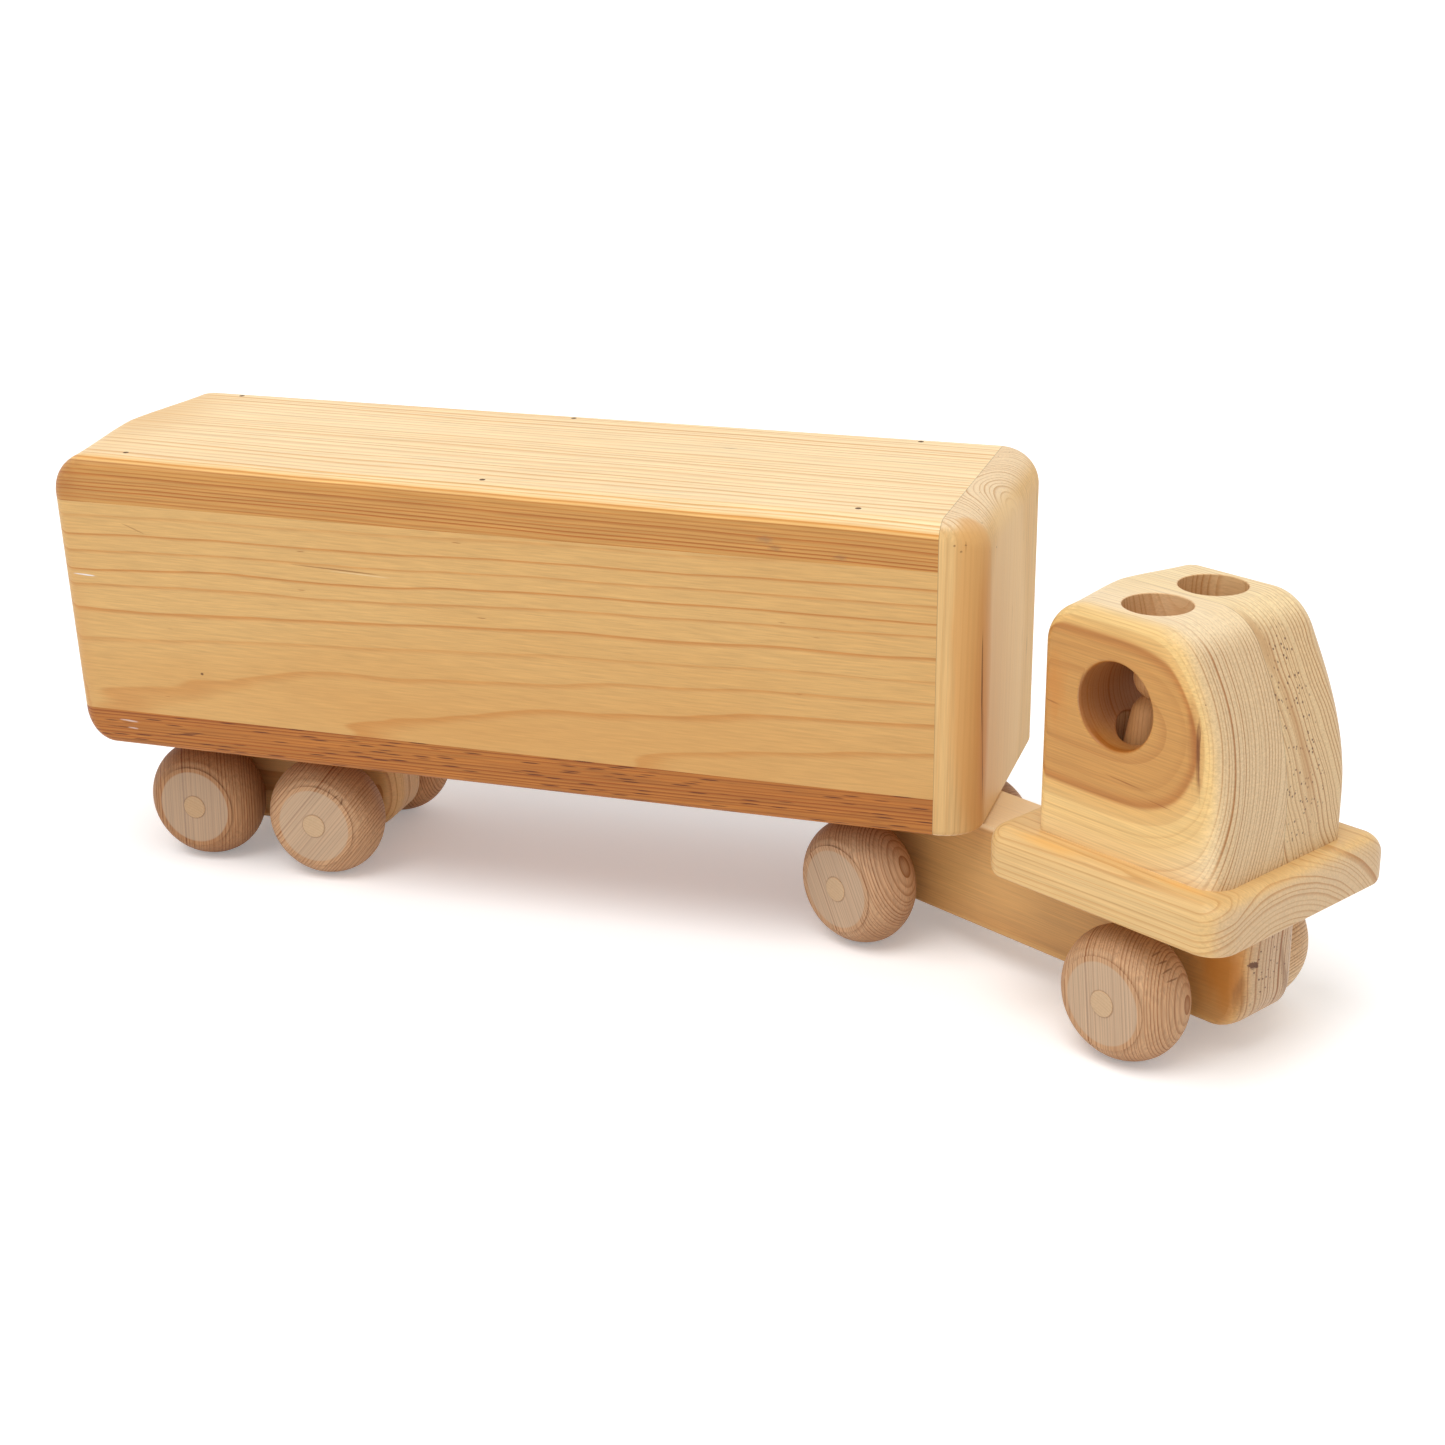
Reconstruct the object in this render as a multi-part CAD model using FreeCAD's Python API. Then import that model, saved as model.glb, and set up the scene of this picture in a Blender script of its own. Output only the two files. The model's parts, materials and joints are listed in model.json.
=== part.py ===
"""Wooden toy semi-truck: a box trailer hitched by a dowel to a short tractor with two peg seats.

Millimetres. +X runs forward along the trailer, +Y to its left, +Z up, and the toy stands on z = 0.
The trailer is straight along X and the tractor stands turned to the right at the hitch.
The origin is on the floor under the middle of the toy's bounding box.
"""
import FreeCAD
import Part
import math
import os

V = FreeCAD.Vector
UP = V(0, 0, 1)
LEFT = V(0, 1, 0)

# Stock and fits
BLOCK_WIDTH = 38.0        # both running-gear blocks
DOWEL_R = 6.35            # half-inch dowel: axles and hitch pin
AXLE_CLEARANCE = 0.08     # radial, axle in its block
HITCH_CLEARANCE = 0.10    # radial, hitch pin in the trailer's floor board

# Wheels, all eight alike
WHEEL_R = 32.6
WHEEL_WIDTH = 34.2
WHEEL_FACE_R = 20.2       # flat disc on each side
TREAD_POWER = 1.78        # 2 would make the tread half an ellipse
TREAD_STEPS = 16
OUTER_FACE = 62.0         # wheel's outer face from the middle of its axle
AXLE_PROUD = 0.4          # axle end past the wheel's face
AXLE_END_ROUND = 0.35

# Trailer box
DECK_Z = 74.1             # trailer's underside, and the top of both blocks
TRAILER_LENGTH = 496.0
TRAILER_WIDTH = 156.4
FLOOR_T = 19.6
PANEL_HEIGHT = 114.8
PANEL_T = 25.0
ROOF_T = 24.1
FRONT_T = 21.4
ROUND_ROOF_RIGHT = 9.5
ROUND_ROOF_LEFT = 13.0
ROUND_FLOOR_SIDES = 3.5
ROUND_REAR_UPRIGHTS = 8.0
ROUND_FRONT_RIGHT = 20.0
ROUND_FRONT_LEFT = 23.5
ROUND_REAR_TOP = (8.5, 21.0)            # at the middle of the width and at the sides
ROUND_REAR_BOTTOM = 18.5
ROUND_FRONT_TOP = 17.0
ROUND_FRONT_BOTTOM = 3.5
REAR_LEAN = 6.4           # the rear end is cut a little out of square, its foot this far forward

# Nails that hold the roof and the floor to the side panels
BRAD_REAR = 39.8                        # from the trailer's rear
BRAD_MIDDLE = 240.2
BRAD_FRONT = 432.4
BRAD_INSET = 14.2                       # from the trailer's side
BRAD_HEAD_R = 1.5
BRAD_HEAD_T = 1.6
BRAD_SHANK_R = 0.8
BRAD_LENGTH = 48.0

# Bogie under the trailer's rear
BOGIE_REAR = 32.8
BOGIE_LENGTH = 128.5
BOGIE_DEPTH = 61.5
BOGIE_AXLES = (57.8, 132.7)
BOGIE_DRIFT = (3.0, -2.5)               # how far each axle stands slid to the left
BOGIE_END_ROUND = 22.0
BOGIE_UPRIGHT_ROUND = 11.0

# Tractor: forward distances are from the hitch
HITCH_SETBACK = 58.8                    # hitch behind the trailer's front face
TRACTOR_TURN = -29.85                   # degrees, to the right
CHASSIS_REAR = -28.0
CHASSIS_FRONT = 239.0
CHASSIS_DEPTH = 56.7
CHASSIS_END_ROUND = 21.5
CHASSIS_UPRIGHT_ROUND = 12.0
BLOCK_UNDER_ROUND = 2.5
TRACTOR_AXLES = (18.2, 189.4)
HITCH_PIN_DEPTH = 30.0
HITCH_PIN_SHORT = 0.8                   # pin's top below the trailer's floor surface
FENDER_REAR = 113.4
FENDER_FRONT = 250.2
FENDER_WIDTH = 132.0
FENDER_DRIFT = 4.5                      # glued on this far to the left of the chassis's middle
FENDER_T = 24.0
FENDER_FRONT_CORNER = 14.0
FENDER_REAR_CORNER = 12.0
FENDER_TOP_ROUND = 9.0
FENDER_LEFT_TOP_ROUND = 14.0
FENDER_BOTTOM_ROUND = 1.5
FENDER_LEFT_BOTTOM_ROUND = 8.0
FENDER_REAR_BOTTOM_ROUND = 8.0

# Cab
CAB_REAR = 134.3
CAB_NOSE = 238.2
CAB_WIDTH = 94.6
CAB_HEIGHT = 113.3
NOSE_HEIGHT = 58.0                      # where the windscreen starts to lean back
ROOF_FRONT = 210.8                      # forward distance where windscreen and roof meet
ROUND_NOSE = 150.0
ROUND_ROOF_FRONT = 26.0
ROUND_ROOF_REAR = (10.0, 21.0)          # at the middle of the width and at the sides
ROUND_CAB_RIGHT_FRONT = 13.0
ROUND_CAB_LEFT_NOSE = 7.0
ROUND_CAB_LEFT_SCREEN = 12.0
ROUND_CAB_RIGHT_ROOF = 8.0
ROUND_CAB_LEFT_ROOF = 10.5
ROUND_CAB_REAR_UPRIGHTS = 5.5
SEAT_FORWARD = 176.7                    # seat holes and window tunnel share one station
WINDOW_HEIGHT = 71.5                    # above the cab's foot
WINDOW_R = 20.5
WINDOW_RIM = 2.0
SEAT_OFFSET = 20.0                      # each side of the cab's middle
SEAT_R = 16.0
SEAT_DEPTH = 85.3
SEAT_RIM = 0.5

# Peg driver, turned in one piece
PEG_BASE_R = 12.8
PEG_SHOULDER_R = 9.7
PEG_SHOULDER_Z = 32.0
PEG_NECK_R = 4.6
PEG_HEAD_R = 10.8
PEG_HEAD_Z = 50.2
PEG_FOOT_CHAMFER = 1.0
PEG_LEAN = 5.1
PEG_LEAN_TOWARDS = 55.0                 # degrees from forward, to the left
PEG_SHIFT = (-1.9, -1.7)                # foot's middle from the hole's, forward and left

WHEEL_MIDDLE = OUTER_FACE - WHEEL_WIDTH / 2
AXLE_Z = WHEEL_R
FLOOR_TOP = DECK_Z + FLOOR_T
PANEL_TOP = FLOOR_TOP + PANEL_HEIGHT
ROOF_TOP = PANEL_TOP + ROOF_T
HITCH_X = TRAILER_LENGTH - HITCH_SETBACK
FENDER_TOP = DECK_Z + FENDER_T
CAB_TOP = FENDER_TOP + CAB_HEIGHT
NOSE_TOP = FENDER_TOP + NOSE_HEIGHT
WINDOW_Z = FENDER_TOP + WINDOW_HEIGHT
SEAT_BOTTOM = CAB_TOP - SEAT_DEPTH

EDGE_REACH = 1.0                        # an edge this near a level counts as lying on it

doc = FreeCAD.newDocument("toy_truck")


def block(x0, x1, y0, y1, z0, z1):
    """A square-edged board or block between the given limits."""
    return Part.makeBox(x1 - x0, y1 - y0, z1 - z0, V(x0, y0, z0))


def prism(profile, side, width):
    """A solid with the given (x, z) outline, from y = 0 out to width on one side (-1 right, 1 left)."""
    corners = [V(x, 0, z) for x, z in profile]
    return Part.Face(Part.makePolygon(corners + corners[:1])).extrude(V(0, side * width, 0))


def rounded(shape, radius_of):
    """Round all the edges for which radius_of(edge middle, edge direction) gives a radius.

    A pair of radii is for an edge across the piece: at y = 0 and at the outer side. Sanding takes
    more off the corners than off the middle of an edge.
    """
    source = doc.addObject("Part::Feature", "source")
    source.Shape = shape
    rounding = doc.addObject("Part::Fillet", "rounding")
    rounding.Base = source
    picked = []
    for number, edge in enumerate(shape.Edges, 1):
        ends = [v.Point for v in edge.Vertexes]
        along = (ends[-1] - ends[0]).normalize() if len(ends) > 1 else V()
        radius = radius_of(edge.CenterOfMass, along)
        if isinstance(radius, tuple):
            start, end = radius if abs(ends[0].y) < abs(ends[-1].y) else radius[::-1]
            picked.append((number, start, end))
        elif radius:
            picked.append((number, radius, radius))
    rounding.Edges = picked
    doc.recompute()
    return rounding.Shape.copy()


def rim_rounded(shape, hole_r, radius, is_rim):
    """Round the rims of a round hole of radius hole_r that is_rim(centre) picks."""
    rims = [
        e
        for e in shape.Edges
        if isinstance(e.Curve, Part.Circle)
        and abs(e.Curve.Radius - hole_r) < 1e-4
        and is_rim(e.Curve.Center)
    ]
    return shape.makeFillet(radius, rims)


def trailer_envelope():
    """The whole box as sanded after glue-up, before it is divided into its boards."""
    profile = [
        (REAR_LEAN, DECK_Z),
        (TRAILER_LENGTH, DECK_Z),
        (TRAILER_LENGTH, ROOF_TOP),
        (0, ROOF_TOP),
    ]
    middle_x = TRAILER_LENGTH / 2
    middle_z = (DECK_Z + ROOF_TOP) / 2

    def radius_of(middle, along):
        if abs(middle.y) < 1e-4:
            return 0
        if abs(along.z) > 0.5:
            if middle.x < middle_x:
                return ROUND_REAR_UPRIGHTS
            return ROUND_FRONT_RIGHT if middle.y < 0 else ROUND_FRONT_LEFT
        if abs(along.x) > 0.5:
            if middle.z < middle_z:
                return ROUND_FLOOR_SIDES
            return ROUND_ROOF_RIGHT if middle.y < 0 else ROUND_ROOF_LEFT
        if middle.x > middle_x:
            return ROUND_FRONT_TOP if middle.z > middle_z else ROUND_FRONT_BOTTOM
        return ROUND_REAR_TOP if middle.z > middle_z else ROUND_REAR_BOTTOM

    halves = [rounded(prism(profile, side, TRAILER_WIDTH / 2), radius_of) for side in (-1, 1)]
    return halves[0].fuse(halves[1]).removeSplitter()


def brads(surface_z, inward):
    """Six nails, their heads level with surface_z, driven along inward (+1 up, -1 down)."""
    way = V(0, 0, inward)
    nails = []
    for x in (BRAD_REAR, BRAD_MIDDLE, BRAD_FRONT):
        for side in (-1, 1):
            head = V(x, side * (TRAILER_WIDTH / 2 - BRAD_INSET), surface_z)
            nails.append(
                Part.makeCylinder(BRAD_HEAD_R, BRAD_HEAD_T, head, way).fuse(
                    Part.makeCylinder(BRAD_SHANK_R, BRAD_LENGTH, head, way)
                ).removeSplitter()
            )
    return Part.makeCompound([n.Solids[0] for n in nails])


def bored_block(rear, front, depth, end_round, upright_round, axle_stations):
    """A running-gear block with rounded ends, bored across for its axles."""
    half = BLOCK_WIDTH / 2
    bottom = DECK_Z - depth
    middle_z = (bottom + DECK_Z) / 2

    def radius_of(middle, along):
        if abs(along.z) > 0.5:
            return upright_round
        if middle.z > middle_z:
            return 0
        return BLOCK_UNDER_ROUND if abs(along.x) > 0.5 else end_round

    beam = rounded(block(rear, front, -half, half, bottom, DECK_Z), radius_of)
    for x in axle_stations:
        bore = Part.makeCylinder(
            DOWEL_R + AXLE_CLEARANCE, BLOCK_WIDTH, V(x, -half, AXLE_Z), LEFT
        )
        beam = beam.cut(bore)
    return beam


def wheel(x, middle_y):
    """A wheel about Y: flat discs, a full round tread and a bore that its axle is glued in."""
    tread = []
    for step in range(TREAD_STEPS + 1):
        turn = math.pi * step / TREAD_STEPS
        across = abs(math.cos(turn)) ** (2 / TREAD_POWER) * WHEEL_WIDTH / 2
        rise = math.sin(turn) ** (2 / TREAD_POWER) if 0 < step < TREAD_STEPS else 0
        side = 1 if step < TREAD_STEPS / 2 else -1
        tread.append(V(0, side * across, WHEEL_FACE_R + rise * (WHEEL_R - WHEEL_FACE_R)))
    curve = Part.BSplineCurve()
    curve.interpolate(Points=tread, InitialTangent=UP, FinalTangent=UP.negative())
    half = WHEEL_WIDTH / 2
    outline = Part.Wire(
        [
            curve.toShape(),
            Part.makeLine(tread[-1], V(0, -half, DOWEL_R)),
            Part.makeLine(V(0, -half, DOWEL_R), V(0, half, DOWEL_R)),
            Part.makeLine(V(0, half, DOWEL_R), tread[0]),
        ]
    )
    turned = Part.Face(outline).revolve(V(0, 0, 0), LEFT, 360)
    turned.translate(V(x, middle_y, AXLE_Z))
    return turned


def axle(x, middle_y):
    """A dowel across the block and through both wheels, its ends a little proud."""
    length = 2 * (OUTER_FACE + AXLE_PROUD)
    rod = Part.makeCylinder(DOWEL_R, length, V(x, middle_y - length / 2, AXLE_Z), LEFT)
    ends = [e for e in rod.Edges if isinstance(e.Curve, Part.Circle)]
    return rod.makeFillet(AXLE_END_ROUND, ends)


def axle_set(name, x, drift):
    """An axle with its two wheels, slid drift to the left."""
    return {
        name + "_axle": axle(x, drift),
        name + "_wheel_right": wheel(x, drift - WHEEL_MIDDLE),
        name + "_wheel_left": wheel(x, drift + WHEEL_MIDDLE),
    }


def fender_board():
    """The flat board between chassis and cab, rounded all round."""
    right = FENDER_DRIFT - FENDER_WIDTH / 2
    left = FENDER_DRIFT + FENDER_WIDTH / 2
    middle_x = (FENDER_REAR + FENDER_FRONT) / 2
    middle_z = (DECK_Z + FENDER_TOP) / 2

    def radius_of(middle, along):
        if abs(along.z) > 0.5:
            return FENDER_FRONT_CORNER if middle.x > middle_x else FENDER_REAR_CORNER
        left_side = abs(along.x) > 0.5 and middle.y > FENDER_DRIFT
        if middle.z > middle_z:
            return FENDER_LEFT_TOP_ROUND if left_side else FENDER_TOP_ROUND
        if abs(along.y) > 0.5 and middle.x < middle_x:
            return FENDER_REAR_BOTTOM_ROUND
        return FENDER_LEFT_BOTTOM_ROUND if left_side else FENDER_BOTTOM_ROUND

    return rounded(block(FENDER_REAR, FENDER_FRONT, right, left, DECK_Z, FENDER_TOP), radius_of)


def nose_round():
    """The nose's rounding, which ends before the cab's foot and before the roof's front rounding."""
    lean = math.atan2(CAB_NOSE - ROOF_FRONT, CAB_TOP - NOSE_TOP)
    screen = math.hypot(CAB_NOSE - ROOF_FRONT, CAB_TOP - NOSE_TOP)
    screen -= ROUND_ROOF_FRONT * math.tan(math.pi / 4 - lean / 2)
    return min(ROUND_NOSE, 0.9 * min(NOSE_HEIGHT, screen) / math.tan(lean / 2))


def cab_half(side):
    """One half of the cab with its seat hole and its part of the window (side: -1 right, 1 left)."""
    profile = [
        (CAB_REAR, FENDER_TOP),
        (CAB_NOSE, FENDER_TOP),
        (CAB_NOSE, NOSE_TOP),
        (ROOF_FRONT, CAB_TOP),
        (CAB_REAR, CAB_TOP),
    ]

    def radius_of(middle, along):
        if abs(middle.y) < 1e-4:
            return 0
        if abs(along.y) > 0.5:
            if middle.z < FENDER_TOP + EDGE_REACH:
                return 0
            if middle.z < CAB_TOP - EDGE_REACH:
                return nose_round()
            return ROUND_ROOF_FRONT if middle.x > CAB_REAR + EDGE_REACH else ROUND_ROOF_REAR
        if abs(along.z) < 0.1:
            if middle.z < FENDER_TOP + EDGE_REACH:
                return 0
            return ROUND_CAB_RIGHT_ROOF if middle.y < 0 else ROUND_CAB_LEFT_ROOF
        if middle.x < CAB_REAR + EDGE_REACH:
            return ROUND_CAB_REAR_UPRIGHTS
        if middle.y < 0:
            return ROUND_CAB_RIGHT_FRONT
        return ROUND_CAB_LEFT_SCREEN if middle.z > NOSE_TOP else ROUND_CAB_LEFT_NOSE

    outer = side * CAB_WIDTH / 2
    half = rounded(prism(profile, side, CAB_WIDTH / 2), radius_of)
    half = half.cut(
        Part.makeCylinder(WINDOW_R, CAB_WIDTH / 2, V(SEAT_FORWARD, min(0, outer), WINDOW_Z), LEFT)
    )
    half = rim_rounded(half, WINDOW_R, WINDOW_RIM, lambda c: abs(c.y - outer) < 1e-4)
    seat_foot = V(SEAT_FORWARD, side * SEAT_OFFSET, SEAT_BOTTOM)
    half = half.cut(Part.makeCylinder(SEAT_R, CAB_TOP - SEAT_BOTTOM, seat_foot, UP))
    return rim_rounded(half, SEAT_R, SEAT_RIM, lambda c: abs(c.z - CAB_TOP) < 1e-4)


def peg_driver():
    """The figure, leaning in the right seat hole with its foot's edge on the hole's bottom."""
    neck_z = PEG_HEAD_Z - math.sqrt(PEG_HEAD_R**2 - PEG_NECK_R**2)
    neck = V(PEG_NECK_R, 0, neck_z)
    shoulder = V(PEG_SHOULDER_R, 0, PEG_SHOULDER_Z)
    shoulder_slope = V(0.87 * PEG_SHOULDER_R, 0, (PEG_SHOULDER_Z + neck_z) / 2)
    outline = Part.Wire(
        [
            Part.makeLine(V(0, 0, 0), V(PEG_BASE_R - PEG_FOOT_CHAMFER, 0, 0)),
            Part.makeLine(
                V(PEG_BASE_R - PEG_FOOT_CHAMFER, 0, 0), V(PEG_BASE_R, 0, PEG_FOOT_CHAMFER)
            ),
            Part.makeLine(V(PEG_BASE_R, 0, PEG_FOOT_CHAMFER), shoulder),
            Part.Arc(shoulder, shoulder_slope, neck).toShape(),
            Part.Arc(
                neck, V(PEG_HEAD_R, 0, PEG_HEAD_Z), V(0, 0, PEG_HEAD_Z + PEG_HEAD_R)
            ).toShape(),
            Part.makeLine(V(0, 0, PEG_HEAD_Z + PEG_HEAD_R), V(0, 0, 0)),
        ]
    )
    figure = Part.Face(outline).revolve(V(0, 0, 0), UP, 360)
    towards = math.radians(PEG_LEAN_TOWARDS)
    figure.rotate(V(0, 0, 0), V(-math.sin(towards), math.cos(towards), 0), PEG_LEAN)
    foot_drop = (PEG_BASE_R - PEG_FOOT_CHAMFER) * math.sin(math.radians(PEG_LEAN))
    figure.translate(
        V(
            SEAT_FORWARD + PEG_SHIFT[0],
            -SEAT_OFFSET + PEG_SHIFT[1],
            SEAT_BOTTOM + foot_drop,
        )
    )
    return figure


# Trailer: divide the rounded box into its boards, then let the nails and the hitch pin in
envelope = trailer_envelope()
half_width = TRAILER_WIDTH / 2
box_end = TRAILER_LENGTH - FRONT_T
panel_inside = half_width - PANEL_T
roof_brads = brads(ROOF_TOP, -1)
floor_brads = brads(DECK_Z, 1)
hitch_pin = Part.makeCylinder(
    DOWEL_R,
    HITCH_PIN_DEPTH + FLOOR_T - HITCH_PIN_SHORT,
    V(0, 0, DECK_Z - HITCH_PIN_DEPTH),
    UP,
)
hitch_hole = Part.makeCylinder(
    DOWEL_R + HITCH_CLEARANCE, FLOOR_T, V(HITCH_X, 0, DECK_Z), UP
)
trailer = {
    "trailer_floor_board": block(0, box_end, -half_width, half_width, DECK_Z, FLOOR_TOP),
    "trailer_right_panel": block(0, box_end, -half_width, -panel_inside, FLOOR_TOP, PANEL_TOP),
    "trailer_left_panel": block(0, box_end, panel_inside, half_width, FLOOR_TOP, PANEL_TOP),
    "trailer_roof_board": block(0, box_end, -half_width, half_width, PANEL_TOP, ROOF_TOP),
    "trailer_front_block": block(
        box_end, TRAILER_LENGTH, -half_width, half_width, DECK_Z, ROOF_TOP
    ),
}
for name, cell in trailer.items():
    trailer[name] = envelope.common(cell).cut(Part.makeCompound([roof_brads, floor_brads]))
trailer["trailer_floor_board"] = trailer["trailer_floor_board"].cut(hitch_hole)
trailer["roof_brads"] = roof_brads
trailer["floor_brads"] = floor_brads
trailer["bogie_block"] = bored_block(
    BOGIE_REAR,
    BOGIE_REAR + BOGIE_LENGTH,
    BOGIE_DEPTH,
    BOGIE_END_ROUND,
    BOGIE_UPRIGHT_ROUND,
    BOGIE_AXLES,
)
trailer.update(axle_set("bogie_rear", BOGIE_AXLES[0], BOGIE_DRIFT[0]))
trailer.update(axle_set("bogie_front", BOGIE_AXLES[1], BOGIE_DRIFT[1]))

# Tractor: built straight about the hitch, then turned and set under the trailer
tractor = {
    "chassis_beam": bored_block(
        CHASSIS_REAR,
        CHASSIS_FRONT,
        CHASSIS_DEPTH,
        CHASSIS_END_ROUND,
        CHASSIS_UPRIGHT_ROUND,
        TRACTOR_AXLES,
    ).cut(hitch_pin),
    "hitch_pin": hitch_pin,
    "fender_board": fender_board(),
    "cab_right_half": cab_half(-1),
    "cab_left_half": cab_half(1),
    "peg_driver": peg_driver(),
}
tractor.update(axle_set("tractor_rear", TRACTOR_AXLES[0], 0))
tractor.update(axle_set("tractor_front", TRACTOR_AXLES[1], 0))
for shape in tractor.values():
    shape.rotate(V(0, 0, 0), UP, TRACTOR_TURN)
    shape.translate(V(HITCH_X, 0, 0))

# Bring the middle of the toy's bounding box over the origin and write one file per node
pieces = {**trailer, **tractor}
limits = Part.makeCompound(list(pieces.values())).optimalBoundingBox(False)
to_origin = V(-limits.Center.x, -limits.Center.y, 0)
os.makedirs("parts", exist_ok=True)
for name, shape in pieces.items():
    shape.translate(to_origin)
    shape.exportStep("parts/" + name + ".step")
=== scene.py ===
"""Looks of the wooden toy semi-truck: waxed pine boards, birch wheels and dowels, and a turned peg driver.

Every board is coloured as a piece cut out of its own log. Growth rings run round the log's pith, so the
figure on a face, on a rounding and on an end is one and the same wood. No form is added to the pieces.
"""
import json
import math

import bmesh
import bpy
from mathutils import Matrix, Vector


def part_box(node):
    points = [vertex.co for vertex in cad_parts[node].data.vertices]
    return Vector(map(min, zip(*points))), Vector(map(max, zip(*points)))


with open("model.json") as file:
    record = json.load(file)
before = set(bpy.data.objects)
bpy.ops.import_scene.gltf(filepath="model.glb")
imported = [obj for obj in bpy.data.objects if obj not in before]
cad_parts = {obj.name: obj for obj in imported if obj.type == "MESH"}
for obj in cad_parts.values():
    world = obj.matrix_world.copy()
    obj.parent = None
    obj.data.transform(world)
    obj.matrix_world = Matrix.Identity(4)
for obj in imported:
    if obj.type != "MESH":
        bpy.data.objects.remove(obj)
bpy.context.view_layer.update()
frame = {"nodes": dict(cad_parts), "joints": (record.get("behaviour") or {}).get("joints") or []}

MM = 0.001
NODES = frame["nodes"]
JOINTS = {joint["name"]: joint for joint in frame["joints"]}

# The trailer points along X. The tractor is turned away from it about the hitch.
UP = Vector((0, 0, 1))
AHEAD = Vector((1, 0, 0))
LEFT = Vector((0, 1, 0))
HITCH = Vector(JOINTS["hitch_turn"]["pos_m"])
TRACTOR_LEFT = Vector(JOINTS["tractor_front_roll"]["axis"]).normalized()
TRACTOR_AHEAD = TRACTOR_LEFT.cross(UP)
TRACTOR_HEADING = math.atan2(TRACTOR_AHEAD.y, TRACTOR_AHEAD.x)
UNTURNED = (0, 0, 0)
TURNED = (0, 0, TRACTOR_HEADING)

# Rings: how slowly they waver along the grain, how far for a waver of one, how their width drifts from year
# to year, where in the year the late wood is darkest and where it ends, and how dark the faintest year is
ALONG_GRAIN = 0.22
RING_SWAY = 4.0
RING_DRIFT_PACE = 0.37
RING_DRIFT = 3.0
LATE_WOOD_FULL = 0.95
LATE_WOOD_ENDS = 0.955
FAINTEST_RING = 0.35

# Fibres: how many streaks and clouds go to a metre across and along the grain, how many times longer than
# wide a fleck is, how much of it is its core, and how dark it is. No flecks are flecks with no share.
STREAKS_PER_METRE = (1100, 1100, 22)
CLOUDS_PER_METRE = (28, 28, 7)
FLECK_LENGTH = 15.0
FLECK_CORE = 0.45
FLECK_DEPTH = 0.85
NO_FLECKS = (6, 0.05, 0.0)

# The surface: height of the raised grain in millimetres, how strongly it shows, and how far the streaks
# change the roughness
GRAIN_HEIGHT = 0.15
GRAIN_STRENGTH = 0.25
ROUGHNESS_RANGE = 0.16

# A wheel's flat outer face and the end of the axle in its middle, in millimetres, and how strong they show
FACE_RADIUS = 20.2
FACE_OUTSET = 16.2
FACE_FADE = 0.8
FACE_PALENESS = 0.42
AXLE_END_RADIUS = 6.5
# Painted shade round a wheel's axle end: its width in millimetres and how strong it is
AXLE_RING_SHADE_WIDTH = 0.6
AXLE_RING_SHADE_SHARE = 0.4

# How squarely a face has to lie across the grain before end grain starts to show, and to show in full
END_GRAIN = (0.45, 0.92)
# Between which values of the clouds the wood goes from pale to warm
CLOUD_SPAN = (0.35, 0.7)
SEAM_BROWN = (70, 42, 22)
# The colour of the painted shade round a wheel's axle end
AXLE_RING_SHADE_BROWN = (120, 84, 56)


def middle(node):
    """The middle of a piece's box."""
    low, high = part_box(node)
    return (low + high) / 2


# --- Shader building blocks ---------------------------------------------------------------------

def put(tree, kind, feeds=None, **settings):
    """A shader node with its settings and its inputs, which are values or other nodes' sockets."""
    made = tree.nodes.new("ShaderNode" + kind)
    for name, value in settings.items():
        setattr(made, name, value)
    for key, value in (feeds or {}).items():
        feed(tree, made.inputs[key], value)
    return made


def feed(tree, socket, value):
    if isinstance(value, bpy.types.NodeSocket):
        tree.links.new(value, socket)
    else:
        socket.default_value = value


def sums(tree, operation, *terms):
    return put(tree, "Math", dict(enumerate(terms)), operation=operation).outputs[0]


def vectors(tree, operation, *terms):
    made = put(tree, "VectorMath", dict(enumerate(terms)), operation=operation)
    return made.outputs["Value" if operation in ("LENGTH", "DOT_PRODUCT") else "Vector"]


def swing(tree, value, size):
    """A value that runs from 0 to 1, turned into a swing to both sides of nought."""
    return sums(tree, "MULTIPLY", sums(tree, "SUBTRACT", value, 0.5), size)


def ease(tree, value, low, high):
    """0 at low and 1 at high, with a soft start and end."""
    feeds = {"Value": value, "From Min": low, "From Max": high}
    return put(tree, "MapRange", feeds, interpolation_type="SMOOTHSTEP").outputs[0]


def noise(tree, place, scale=1.0, detail=2.0, roughness=0.5):
    feeds = {"Vector": place, "Scale": scale, "Detail": detail, "Roughness": roughness}
    return put(tree, "TexNoise", feeds).outputs[0]


def lay(tree, under, over, share, blend="MIX"):
    """One colour laid over another by a share."""
    made = put(tree, "Mix", data_type="RGBA", blend_type=blend)
    for place, value in ((0, share), (6, under), (7, over)):
        feed(tree, made.inputs[place], value)
    return made.outputs[2]


def tone(red, green, blue):
    """A colour as it is seen, 0 to 255, turned into light."""
    parts = [c / 255 for c in (red, green, blue)]
    return (*[c / 12.92 if c <= 0.04045 else ((c + 0.055) / 1.055) ** 2.4 for c in parts], 1)


def tinted(tint, *colour):
    return [share * part for share, part in zip(tint, colour)]


def new_material(name):
    material = bpy.data.materials.new(name)
    material.use_nodes = True
    material.node_tree.nodes.clear()
    return material, material.node_tree


def surface(tree, feeds):
    """The material's shader and its output."""
    shader = put(tree, "BsdfPrincipled", feeds)
    tree.links.new(shader.outputs[0], put(tree, "OutputMaterial").inputs[0])


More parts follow.
